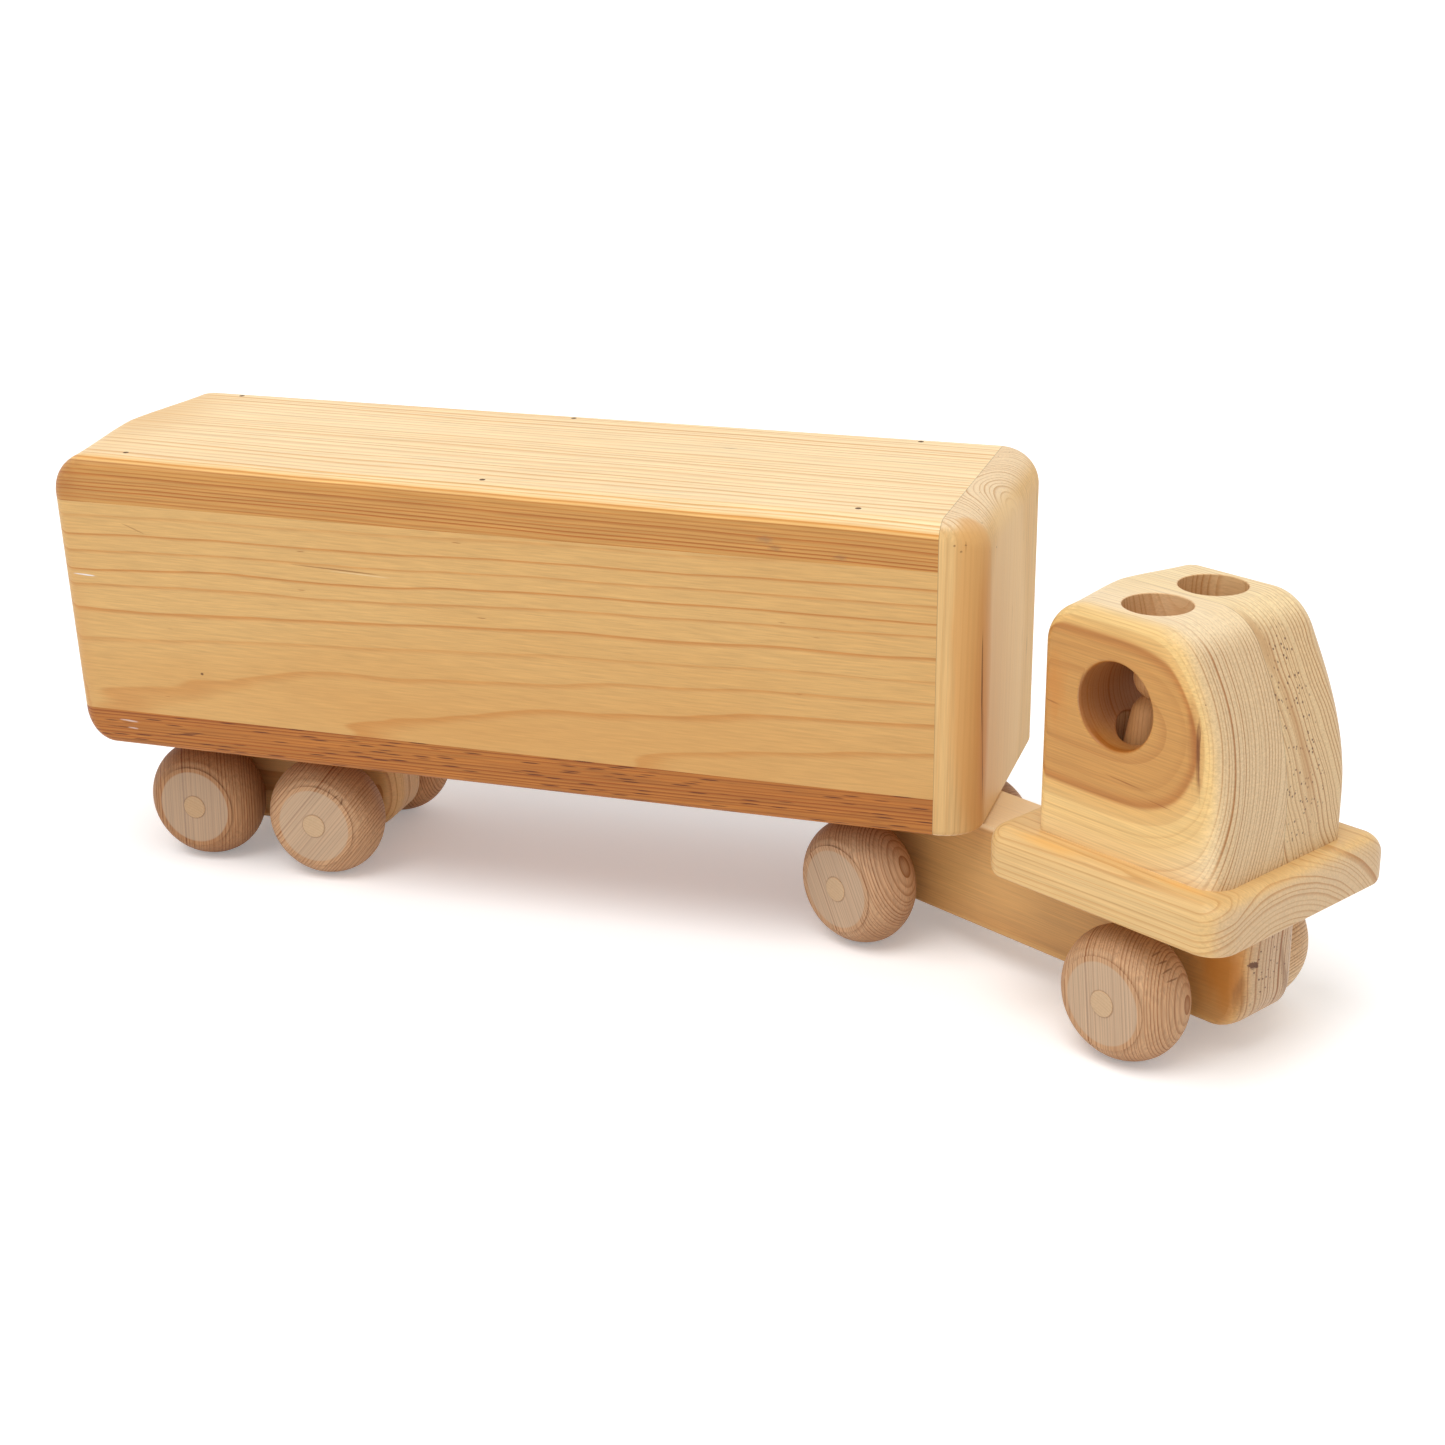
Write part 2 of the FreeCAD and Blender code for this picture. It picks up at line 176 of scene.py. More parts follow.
def new_group(name, inputs, outputs):
    """An empty node group with named sockets: inputs are {name: default}, outputs are names."""
    tree = bpy.data.node_groups.new(name, "ShaderNodeTree")
    for title, default in inputs.items():
        kind = "NodeSocketVector" if isinstance(default, tuple) else "NodeSocketFloat"
        socket = tree.interface.new_socket(name=title, in_out="INPUT", socket_type=kind)
        socket.default_value = default
    for title in outputs:
        tree.interface.new_socket(name=title, in_out="OUTPUT", socket_type="NodeSocketFloat")
    return tree, tree.nodes.new("NodeGroupInput").outputs, tree.nodes.new("NodeGroupOutput").inputs


def use(tree, group, feeds):
    """A node group with its inputs fed; gives its outputs."""
    return put(tree, "Group", feeds, node_tree=group).outputs


# --- Wood ---------------------------------------------------------------------------------------

def growth_rings():
    """Rings round a log's pith, which runs along Z. Late wood darkens slowly and ends sharply.

    Bend makes them close in on the pith, as towards a curve in the log, by the fourth power of the way along.
    """
    tree, given, result = new_group(
        "Growth rings",
        {"Place": (0.0, 0.0, 0.0), "Ring Width": 2.2 * MM, "Waver": 0.5 * MM, "Waver Length": 60 * MM,
         "Late Share": 0.35, "Unevenness": 0.6, "Bend": 0.0},
        ["Late", "Radius"])
    place = given["Place"]
    stretched = vectors(tree, "MULTIPLY", place, (1, 1, ALONG_GRAIN))
    wavers = vectors(tree, "DIVIDE", stretched, given["Waver Length"])
    sway = swing(tree, noise(tree, wavers, detail=2.5, roughness=0.45),
                 sums(tree, "MULTIPLY", given["Waver"], RING_SWAY))
    along = put(tree, "SeparateXYZ", {0: place}).outputs[2]
    bow = sums(tree, "MULTIPLY", sums(tree, "POWER", along, 4.0), given["Bend"])
    from_pith = vectors(tree, "LENGTH", vectors(tree, "MULTIPLY", place, (1, 1, 0)))
    radius = sums(tree, "ADD", sums(tree, "ADD", from_pith, sway), bow)

    count = sums(tree, "DIVIDE", radius, given["Ring Width"])
    pace = sums(tree, "MULTIPLY", count, RING_DRIFT_PACE)
    slow = put(tree, "TexNoise", {"W": pace, "Scale": 1.0, "Detail": 1.0}, noise_dimensions="1D").outputs[0]
    drift = swing(tree, slow, sums(tree, "MULTIPLY", given["Unevenness"], RING_DRIFT))
    count = sums(tree, "ADD", count, drift)
    season = sums(tree, "FRACT", count)
    year = sums(tree, "FLOOR", count)
    chance = put(tree, "TexWhiteNoise", {"W": year}, noise_dimensions="1D").outputs[0]
    late_start = sums(tree, "SUBTRACT", LATE_WOOD_FULL - 0.01, given["Late Share"])
    rise = ease(tree, season, late_start, LATE_WOOD_FULL)
    fall = ease(tree, season, 1.0, LATE_WOOD_ENDS)
    strength = sums(tree, "MULTIPLY_ADD", chance, 1.0 - FAINTEST_RING, FAINTEST_RING)
    late = sums(tree, "MULTIPLY", sums(tree, "MULTIPLY", rise, fall), strength)
    tree.links.new(late, result["Late"])
    tree.links.new(radius, result["Radius"])
    return tree


def fibres():
    """Fine streaks along the grain, broad clouds, and short dark resin flecks that show as pits on an end."""
    tree, given, result = new_group(
        "Fibres", {"Place": (0.0, 0.0, 0.0), "Fleck Pitch": 5 * MM, "Fleck Size": 0.1, "Fleck Share": 0.3},
        ["Streak", "Fleck", "Cloud"])
    place = given["Place"]
    streak = noise(tree, vectors(tree, "MULTIPLY", place, STREAKS_PER_METRE), detail=3.0, roughness=0.6)
    cloud = noise(tree, vectors(tree, "MULTIPLY", place, CLOUDS_PER_METRE))
    shortened = vectors(tree, "DIVIDE", place, (1, 1, FLECK_LENGTH))
    cell_place = vectors(tree, "DIVIDE", shortened, given["Fleck Pitch"])
    cells = put(tree, "TexVoronoi", {"Vector": cell_place, "Scale": 1.0}).outputs
    core = sums(tree, "MULTIPLY", given["Fleck Size"], FLECK_CORE)
    body = ease(tree, cells["Distance"], given["Fleck Size"], core)
    lot = put(tree, "SeparateXYZ", {0: cells["Color"]}).outputs[0]
    chosen = sums(tree, "LESS_THAN", lot, given["Fleck Share"])
    tree.links.new(streak, result["Streak"])
    tree.links.new(sums(tree, "MULTIPLY", body, chosen), result["Fleck"])
    tree.links.new(cloud, result["Cloud"])
    return tree


def stain():
    """One local patch, streak or speck, for a stain or for painted light or shade: an ellipsoid with a ragged
    edge.
    """
    tree, given, result = new_group(
        "Stain", {"Place": (0.0, 0.0, 0.0), "Centre": (0.0, 0.0, 0.0), "Turn": (0.0, 0.0, 0.0),
                  "Size": (0.01, 0.01, 0.01), "Softness": 0.5, "Ragged": 0.3}, ["Mask"])
    away = vectors(tree, "SUBTRACT", given["Place"], given["Centre"])
    turned = put(tree, "VectorRotate", {"Vector": away, "Rotation": given["Turn"]},
                 rotation_type="EULER_XYZ", invert=True).outputs[0]
    share = vectors(tree, "DIVIDE", turned, given["Size"])
    uneven = noise(tree, share, scale=2.2, detail=3.0)
    edge = swing(tree, uneven, sums(tree, "MULTIPLY", given["Ragged"], 2.0))
    reach = sums(tree, "ADD", vectors(tree, "LENGTH", share), edge)
    mask = ease(tree, reach, 1.0, sums(tree, "SUBTRACT", 1.0, given["Softness"]))
    tree.links.new(mask, result["Mask"])
    return tree


RINGS, FIBRES, PATCH_MASK = growth_rings(), fibres(), stain()


def patch(at, extent, softness, ragged, turn=UNTURNED):
    """Where a stain or a patch of painted light or shade lies: extent is its half lengths in millimetres,
    along axes turned by turn.
    """
    size = tuple(half * MM for half in extent)
    return {"Centre": at, "Turn": turn, "Size": size, "Softness": softness, "Ragged": ragged}


def mark(at, extent, colour, strength, softness, ragged, turn=UNTURNED):
    """A stain, scratch, or patch of painted light or shade, for timber to lay on a piece: its place, its
    colour and how strong it is.
    """
    return patch(at, extent, softness, ragged, turn), colour, strength


class Log:
    """Where a piece sits in its log: the grain's direction, the way out from the pith, and how deep."""

    def __init__(self, grain, outward, at, depth):
        """The pith runs depth millimetres inward of the point at."""
        grain = grain.normalized()
        outward = (outward - outward.dot(grain) * grain).normalized()
        self.grain = grain
        self.turn = Matrix((outward, grain.cross(outward), grain))
        self.shift = -(self.turn @ (at - depth * MM * outward))

    def place(self, tree, point):
        feeds = {"Vector": point, "Location": self.shift, "Rotation": self.turn.to_euler("XYZ")}
        return put(tree, "Mapping", feeds, vector_type="POINT").outputs[0]


def timber(name, log, pale, late, warm, end, ring=2.2, waver=0.5, waver_length=60, late_share=0.35,
           late_strength=0.8, unevenness=0.6, bend=0.0, zones=(), zone_lines=0.0, streaks=0.25, warmth=0.5,
           fleck=None, fleck_colour=(96, 52, 26), fleck_near=None, stains_and_painted_light=(), seams=(), roughness=0.46,
           coat=0.05, end_lines=1.0, end_share=0.75, face=None):
    """Wood of one piece. Colours are as seen, 0 to 255; lengths are millimetres.

    Pale and warm are the early wood's two colours, late tints its ring lines and end colours the end grain.
    End_lines is how many times stronger ring lines are on end grain, end_share how far its colour shows.
    Zones are (radius, edge, colour): inside that radius of the log the wood has that colour, and zone_lines
    makes the ring lines darker in the innermost one. Fleck is (pitch, size, share), and fleck_near is the
    patch that the flecks keep to. Stains are marks: a stain, scratch or speck, and on some pieces a patch of
    painted light or painted shade. Seams are (point, normal, width, strength): a dark line where the piece
    meets its neighbour. Face is a wheel's (axle, centre, colour).
    """
    material, tree = new_material(name)
    spot = put(tree, "TexCoord").outputs
    point = spot["Object"]
    place = log.place(tree, point)
    rings = use(tree, RINGS, {
        "Place": place, "Ring Width": ring * MM, "Waver": waver * MM, "Waver Length": waver_length * MM,
        "Late Share": late_share, "Unevenness": unevenness, "Bend": bend})
    pitch, size, share = fleck or NO_FLECKS
    fibre = use(tree, FIBRES, {
        "Place": place, "Fleck Pitch": pitch * MM, "Fleck Size": size, "Fleck Share": share})
    facing = sums(tree, "ABSOLUTE", vectors(tree, "DOT_PRODUCT", spot["Normal"], tuple(log.grain)))
    on_end = ease(tree, facing, *END_GRAIN)

    cloudy = sums(tree, "MULTIPLY", ease(tree, fibre["Cloud"], *CLOUD_SPAN), warmth)
    ground = lay(tree, tone(*pale), tone(*warm), cloudy)
    for radius, edge, colour in zones:
        inside = ease(tree, rings["Radius"], (radius + edge) * MM, (radius - edge) * MM)
        ground = lay(tree, ground, tone(*colour), inside)
    ground = lay(tree, ground, tone(*end), sums(tree, "MULTIPLY", on_end, end_share))

    line_strength = sums(tree, "MULTIPLY_ADD", on_end, late_strength * (end_lines - 1.0), late_strength)
    lines = sums(tree, "MULTIPLY", rings["Late"], line_strength)
    wood = lay(tree, ground, tone(*late), lines, "MULTIPLY")
    if zone_lines:
        inner_lines = sums(tree, "MULTIPLY", sums(tree, "MULTIPLY", rings["Late"], inside), zone_lines)
        wood = lay(tree, wood, tone(*late), inner_lines, "MULTIPLY")
    grey = sums(tree, "ADD", swing(tree, fibre["Streak"], streaks * 2), 1.0)
    wood = lay(tree, wood, put(tree, "CombineColor", {0: grey, 1: grey, 2: grey}).outputs[0], 1.0, "MULTIPLY")

    if fleck:
        flecks = sums(tree, "MULTIPLY", fibre["Fleck"], FLECK_DEPTH)
        if fleck_near:
            flecks = sums(tree, "MULTIPLY", flecks, use(tree, PATCH_MASK, {"Place": point, **fleck_near})[0])
        wood = lay(tree, wood, tone(*fleck_colour), flecks)
    for where, colour, strength in stains_and_painted_light:
        mask = use(tree, PATCH_MASK, {"Place": point, **where})[0]
        wood = lay(tree, wood, tone(*colour), sums(tree, "MULTIPLY", mask, strength))
    for at, normal, width, strength in seams:
        away = vectors(tree, "SUBTRACT", point, tuple(at))
        gap = sums(tree, "ABSOLUTE", vectors(tree, "DOT_PRODUCT", away, tuple(normal)))
        line = sums(tree, "MULTIPLY", ease(tree, gap, width * MM, 0), strength)
        wood = lay(tree, wood, tone(*SEAM_BROWN), line)
    if face:
        wood = lay_wheel_face(tree, point, wood, *face)

    relief = sums(tree, "MULTIPLY_ADD", fibre["Streak"], 0.5, sums(tree, "MULTIPLY", rings["Late"], 0.5))
    if fleck:
        relief = sums(tree, "SUBTRACT", relief, fibre["Fleck"])
    raised = {"Height": relief, "Strength": GRAIN_STRENGTH, "Distance": GRAIN_HEIGHT * MM}
    bump = put(tree, "Bump", raised).outputs[0]
    rough = sums(tree, "ADD", swing(tree, fibre["Streak"], ROUGHNESS_RANGE), roughness)
    surface(tree, {"Base Color": wood, "Roughness": rough, "Normal": bump, "Specular IOR Level": 0.32,
                   "Coat Weight": coat, "Coat Roughness": 0.35})
    return material


def lay_wheel_face(tree, point, wood, axle, centre, colour):
    """Paler wood on a wheel's flat outer face, and painted shade: a dark ring round its axle's end."""
    away = vectors(tree, "SUBTRACT", point, tuple(centre))
    along = vectors(tree, "DOT_PRODUCT", away, tuple(axle))
    squared = sums(tree, "SUBTRACT", sums(tree, "POWER", vectors(tree, "LENGTH", away), 2.0),
                   sums(tree, "POWER", along, 2.0))
    from_axle = sums(tree, "SQRT", sums(tree, "MAXIMUM", squared, 0.0))
    outer = ease(tree, sums(tree, "ABSOLUTE", along), FACE_OUTSET * MM, (FACE_OUTSET + FACE_FADE) * MM)
    within = ease(tree, from_axle, (FACE_RADIUS + 0.6) * MM, (FACE_RADIUS - 0.4) * MM)
    disc = sums(tree, "MULTIPLY", outer, within)
    wood = lay(tree, wood, tone(*colour), sums(tree, "MULTIPLY", disc, FACE_PALENESS))
    # Painted shade: a dark ring just outside the axle's end, on the wheel's outer face
    near_axle = ease(tree, from_axle, (AXLE_END_RADIUS + AXLE_RING_SHADE_WIDTH) * MM, AXLE_END_RADIUS * MM)
    axle_ring_shade = sums(tree, "MULTIPLY", sums(tree, "MULTIPLY", outer, near_axle), AXLE_RING_SHADE_SHARE)
    return lay(tree, wood, tone(*AXLE_RING_SHADE_BROWN), axle_ring_shade)


def steel(name):
    """Nail steel, dull and browned by the wood round it."""
    material, tree = new_material(name)
    dull = noise(tree, put(tree, "TexCoord").outputs["Object"], scale=900.0, detail=3.0)
    bump = put(tree, "Bump", {"Height": dull, "Strength": 0.3, "Distance": 0.1 * MM}).outputs[0]
    surface(tree, {"Base Color": lay(tree, tone(118, 82, 50), tone(78, 52, 32), dull),
                   "Roughness": sums(tree, "MULTIPLY_ADD", dull, 0.3, 0.5), "Metallic": 0.0,
                   "Specular IOR Level": 0.2, "Normal": bump})
    return material


def finish_in(node, material):
    """A piece given its one material."""
    slots = NODES[node].data.materials
    slots.clear()
    slots.append(material)


# --- Places on the toy --------------------------------------------------------------------------

roof_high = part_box("trailer_roof_board")[1]
panel_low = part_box("trailer_right_panel")[0]
left_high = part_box("trailer_left_panel")[1]
floor_low, floor_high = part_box("trailer_floor_board")
front_low, front_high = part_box("trailer_front_block")


def on_side(back, height):
    """A point on the trailer's right side, in millimetres behind the front block and above the floor."""
    return Vector((front_low.x - back * MM, panel_low.y, height * MM))


def on_roof(back, inward):
    """A point on the roof, in millimetres behind the front block and inward from the right side."""
    return Vector((front_low.x - back * MM, panel_low.y + inward * MM, roof_high.z))


def on_block(ahead, inward, height):
    """A point in millimetres ahead of the front block, inward from its right side and above the floor."""
    return Vector((front_high.x + ahead * MM, front_low.y + inward * MM, height * MM))


def on_tractor(ahead, left, height):
    """A point in millimetres ahead and left of the hitch, and above the floor."""
    reach = ahead * TRACTOR_AHEAD + left * TRACTOR_LEFT + height * UP
    return Vector((HITCH.x, HITCH.y, 0)) + MM * reach


def directions(node):
    """The left and the ahead of the vehicle that a piece belongs to."""
    return (TRACTOR_LEFT, TRACTOR_AHEAD) if node.startswith("tractor") else (LEFT, AHEAD)


def plain_name(node):
    return node.replace("_", " ").capitalize()


# --- Trailer boards -----------------------------------------------------------------------------

finish_in("trailer_roof_board", timber(
    "Roof board pine",
    Log(AHEAD - 0.014 * UP, UP + 0.34 * LEFT, on_side(240, roof_high.z / MM - 4.5), 800),
    pale=(252, 223, 172), late=(226, 188, 140), warm=(249, 214, 158), end=(214, 160, 100),
    ring=2.1, waver=1.0, waver_length=34, late_share=0.55, late_strength=0.95, unevenness=0.5,
    zones=((803.2, 1.6, (240, 190, 116)), (800.2, 0.5, (204, 149, 81))), zone_lines=0.75,
    streaks=0.34, fleck=(9, 0.04, 0.3),
    stains_and_painted_light=(mark(on_side(84, 217.8), (6, 3, 3), (140, 110, 84), 0.4, 0.9, 0.5),
            mark(on_side(79, 214), (5, 3, 2), (120, 90, 66), 0.4, 0.9, 0.5),
            mark(on_side(47, 212), (5, 3, 2), (130, 98, 72), 0.4, 0.9, 0.5),
            mark(on_side(486, 218), (44, 24, 18), (168, 106, 50), 0.6, 0.8, 0.3),
            mark(on_roof(470, 90), (60, 110, 12), (231, 187, 126), 0.75, 1.0, 0.2))))

panel_wood = dict(
    pale=(217, 173, 109), late=(226, 184, 138), warm=(208, 158, 92), end=(218, 178, 120),
    waver_length=26, late_share=0.2, late_strength=0.82, unevenness=0.3, streaks=0.28, warmth=0.35,
    fleck=(3.6, 0.07, 0.25), fleck_colour=(156, 96, 44))
finish_in("trailer_right_panel", timber(
    "Right panel pine",
    Log(AHEAD - 0.042 * LEFT - 0.012 * UP, -LEFT, on_side(0, panel_low.z / MM - 4), 66),
    ring=7.2, waver=1.35,
    stains_and_painted_light=(mark(on_side(200, 104), (420, 8, 62), (204, 144, 74), 0.45, 1.0, 0.15),
            mark(on_side(310, 183.6), (32, 2, 0.5), (140, 88, 44), 0.7, 0.6, 0.5, (0, 0.03, 0)),
            mark(on_side(297, 182.2), (22, 2, 0.5), (244, 220, 176), 0.4, 0.6, 0.5, (0, 0.03, 0)),
            mark(on_side(426, 196), (9, 2, 0.5), (150, 100, 54), 0.5, 0.6, 0.5, (0, 0.35, 0)),
            mark(on_side(458, 168.5), (8, 2, 0.5), (244, 240, 240), 0.85, 0.5, 0.3, (0, 0.04, 0)),
            mark(on_side(393.4, 119.2), (1.1, 2, 0.9), (104, 66, 36), 0.9, 0.5, 0.4),
            mark(on_side(472, 140), (20, 8, 80), (206, 150, 92), 0.35, 1.0, 0.2)),
    **panel_wood))
finish_in("trailer_left_panel", timber(
    "Left panel pine",
    Log(AHEAD + 0.03 * LEFT, LEFT, Vector((front_low.x, left_high.y, left_high.z)), 70),
    ring=6.4, waver=1.7, **panel_wood))

finish_in("trailer_floor_board", timber(
    "Floor board pine",
    Log(AHEAD + 0.01 * UP, UP - 0.3 * LEFT, Vector((0, floor_low.y, floor_high.z)), 300),
    pale=(184, 117, 50), late=(200, 158, 114), warm=(172, 103, 42), end=(160, 98, 48),
    ring=1.9, waver_length=40, late_share=0.5, late_strength=0.95, streaks=0.46,
    fleck=(1.4, 0.33, 0.9), fleck_colour=(84, 32, 10),
    stains_and_painted_light=(mark(on_side(440, 88), (7, 2, 0.6), (226, 208, 200), 0.7, 0.6, 0.4, (0, 0.05, 0)),
            mark(on_side(438, 84), (4, 2, 0.5), (226, 208, 200), 0.6, 0.6, 0.4, (0, 0.05, 0)))))

pale_face_and_resin_streaks = (
    # The first mark pales the block's front face: partly its paler wood, partly painted light. The rest are
    # resin streaks and resin lines.
    mark(on_block(0, 60, 140), (11, 56, 120), (244, 208, 153), 0.6, 0.3, 0.1),
    mark(on_block(-5, 10, 165), (14, 17, 125), (224, 168, 100), 0.7, 0.35, 0.2, (0.03, 0, 0)),
    mark(on_block(-2, 14, 140), (8, 7, 90), (216, 152, 84), 0.4, 0.6, 0.4, (0.03, 0, 0)),
    mark(on_block(-1, 13.5, 130), (5, 1.5, 62), (190, 122, 58), 0.5, 0.8, 0.4, (0.03, 0, 0)),
    mark(on_block(-1, 12.5, 150), (4, 0.5, 34), (104, 56, 24), 0.9, 0.6, 0.7, (0.03, 0, 0)),
    mark(on_block(-1, 15, 112), (4, 0.5, 32), (132, 76, 34), 0.8, 0.6, 0.6, (0.05, 0, 0)))
specks = tuple(
    mark(on_block(*place), (0.8, 0.9, 0.7), (128, 80, 44), 0.7, 0.7, 0.6)
    for place in ((-14, 1, 222), (-11, 2, 219), (-9, 3, 222), (-1, 16, 216), (0, 30, 214)))
finish_in("trailer_front_block", timber(
    "Front block pine", Log(UP + 0.012 * LEFT, -AHEAD, on_block(-26, 70, 160), 42),
    pale=(228, 188, 128), late=(206, 168, 122), warm=(224, 180, 116), end=(243, 218, 181),
    ring=2.8, waver=0.7, waver_length=30, late_share=0.4, late_strength=0.38, end_lines=2.5,
    streaks=0.26, fleck=(5, 0.09, 0.3), fleck_colour=(120, 76, 40), roughness=0.6, coat=0.0,
    stains_and_painted_light=pale_face_and_resin_streaks + specks, seams=((front_low, AHEAD, 0.5, 0.5),)))

finish_in("bogie_block", timber(
    "Bogie block pine", Log(AHEAD, LEFT + 0.1 * UP, middle("bogie_block"), 90),
    pale=(222, 174, 116), late=(206, 168, 124), warm=(206, 154, 92), end=(226, 186, 132),
    ring=2.3, waver_length=50, late_strength=0.9, end_lines=1.1, fleck=(6, 0.06, 0.3)))


# --- Tractor blocks -----------------------------------------------------------------------------

def turned(x, y):
    """Axes that tilt about the tractor's own ahead and left."""
    return x, y, TRACTOR_HEADING


finish_in("chassis_beam", timber(
    "Chassis beam pine", Log(TRACTOR_AHEAD, -TRACTOR_LEFT, on_tractor(200, -19, 48), 200),
    pale=(217, 170, 109), late=(190, 144, 98), warm=(204, 152, 87), end=(197, 171, 143),
    ring=2.4, waver=0.35, waver_length=50, late_share=0.42, late_strength=0.5, end_lines=2.2,
    streaks=0.34, fleck=(2.4, 0.26, 0.7), fleck_colour=(80, 42, 20),
    fleck_near=patch(on_tractor(242, -4, 48), (12, 26, 34), 0.5, 0.4, TURNED),
    stains_and_painted_light=(mark(on_tractor(224, -19, 45), (24, 4, 30), (198, 126, 48), 0.85, 0.8, 0.3, TURNED),
            mark(on_tractor(238, -15, 52), (3.6, 3.2, 2.4), (96, 56, 36), 0.9, 0.25, 0.5, turned(0.5, 0.6)),
            mark(on_tractor(236, -18, 36), (9, 3, 18), (140, 88, 44), 0.6, 0.8, 0.6, TURNED),
            mark(on_tractor(239, 8, 40), (8, 3, 26), (140, 98, 64), 0.6, 0.8, 0.7, turned(0.3, 0)),
            # Painted light: a pale patch that lifts the chassis top out of the shade it lies in
            mark(on_tractor(75, 0, 74), (60, 44, 4), (254, 227, 182), 0.75, 0.6, 0.2, TURNED))))
finish_in("fender_board", timber(
    "Fender board pine",
    Log(TRACTOR_AHEAD + 0.01 * UP, UP - 0.28 * TRACTOR_LEFT, on_tractor(180, -40, 98), 90),
    pale=(227, 190, 131), late=(210, 170, 122), warm=(223, 175, 108), end=(208, 178, 141),
    ring=2.6, waver=0.9, waver_length=34, late_strength=0.62, end_lines=1.5, streaks=0.26,
    stains_and_painted_light=(mark(on_tractor(150, -56, 97), (28, 5, 4), (240, 182, 98), 0.6, 0.9, 0.3, TURNED),
            mark(on_tractor(222, -50, 98), (22, 4, 4), (240, 186, 106), 0.6, 0.9, 0.3, TURNED))))

# The middle of the cab's window tunnel, how far to each side the seat holes stand, and how wide the wood
# coloured inside of them reaches: bare wood in the seat holes, and in the tunnel darker end grain with
# painted shade
WINDOW_AHEAD, WINDOW_HEIGHT = 176.7, 169.6
SEAT_ASIDE = 20
SEAT_REACH = 16.8
WINDOW_REACH = 21.7
ALL_THROUGH = 1000

cab_seam = (on_tractor(0, 0, 0), TRACTOR_LEFT, 0.3, 0.45)
cab_hollows = tuple(
    mark(on_tractor(WINDOW_AHEAD, left, WINDOW_HEIGHT), (SEAT_REACH, SEAT_REACH, ALL_THROUGH),
         (220, 156, 92), 0.4, 0.04, 0.0, TURNED)
    for left in (SEAT_ASIDE, -SEAT_ASIDE))
# Painted shade, with the bore's darker end grain: the window tunnel's walls darkened to a deep orange brown
cab_hollows += (
    mark(on_tractor(WINDOW_AHEAD, 0, WINDOW_HEIGHT), (WINDOW_REACH, ALL_THROUGH, WINDOW_REACH),
         (160, 86, 6), 0.78, 0.05, 0.0, TURNED),)
finish_in("cab_right_half", timber(
    "Right cab block pine",
    Log(TRACTOR_AHEAD - 0.02 * UP, TRACTOR_LEFT, on_tractor(160, -47.3, 164), 150),
    pale=(245, 219, 176), late=(192, 146, 98), warm=(242, 210, 150), end=(214, 183, 140),
    ring=2.3, waver=0.3, waver_length=40, late_share=0.4, late_strength=0.3, end_lines=3.2, bend=290.0,
    zones=((164, 6, (237, 198, 131)), (156.2, 1.4, (226, 178, 108)), (154.8, 0.35, (186, 124, 62)),
           (153.9, 0.6, (203, 148, 81))),
    streaks=0.36, fleck=(7, 0.05, 0.25), end_share=0.9,
    stains_and_painted_light=cab_hollows + (
        mark(on_tractor(221, -47, 166), (5, 4, 32), (160, 94, 42), 0.6, 1.0, 0.4, turned(0, -0.12)),
        mark(on_tractor(223, -47, 160), (1.3, 4, 22), (112, 58, 22), 0.85, 0.8, 0.6, turned(0, -0.1)),
        mark(on_tractor(142, -47, 170), (12, 4, 26), (204, 132, 58), 0.6, 1.0, 0.5, TURNED),
        mark(on_tractor(185, -47, 136), (14, 3, 0.5), (156, 92, 40), 0.7, 0.7, 0.6, turned(0, 0.08)),
        mark(on_tractor(205, -47, 131), (9, 3, 0.4), (156, 92, 40), 0.7, 0.7, 0.6, turned(0, 0.08)),
        mark(on_tractor(141, -47, 163), (7, 3, 0.5), (150, 86, 36), 0.6, 0.7, 0.6, turned(0, 0.1))),
    seams=(cab_seam,)))
finish_in("cab_left_half", timber(
    "Left cab block pine",
    Log(TRACTOR_AHEAD, -TRACTOR_LEFT - 0.22 * UP, on_tractor(238, 12, 155), 240),
    pale=(245, 219, 170), late=(192, 146, 98), warm=(240, 208, 152), end=(212, 179, 133),
    ring=2.5, waver=2.4, waver_length=44, late_share=0.42, late_strength=0.5, end_lines=2.2,
    streaks=0.34, fleck=(2.4, 0.31, 0.8), fleck_colour=(76, 38, 16),
    fleck_near=patch(on_tractor(232, 12, 155), (45, 20, 75), 0.5, 0.4, TURNED), end_share=0.85,
    stains_and_painted_light=cab_hollows + (
        mark(on_tractor(228, 3, 200), (40, 5, 26), (186, 138, 86), 0.6, 0.7, 0.35, turned(0.1, 0)),
        mark(on_tractor(232, 13, 150), (30, 5, 50), (188, 140, 88), 0.6, 0.8, 0.35, turned(0.2, 0))),
    seams=(cab_seam,)))


# --- Turned pieces ------------------------------------------------------------------------------

# How each wheel's grain lies on its disc, in degrees from level, how far its rings lean to the vehicle's
# right, and a tint of its colour: on the bogie's rear right wheel a darkening that is painted shade, and on
# the tractor's front left wheel a lightening that is painted light
WHEELS = {
    "bogie_rear_wheel_right": (88, 0.45, (0.89, 0.83, 0.76)),
    "bogie_front_wheel_right": (50, 0.05, (1, 1, 1)),
    "tractor_rear_wheel_right": (118, 0.2, (1, 1.01, 1.03)),
    "tractor_front_wheel_right": (96, 0.25, (1, 1, 1)),
    "bogie_rear_wheel_left": (20, 0.1, (1, 1, 1)),
    "bogie_front_wheel_left": (100, 0.1, (1.1, 1.08, 1.05)),
    "tractor_rear_wheel_left": (65, 0.1, (1, 1, 1)),
    "tractor_front_wheel_left": (35, 0.1, (1.18, 1.3, 1.4))}
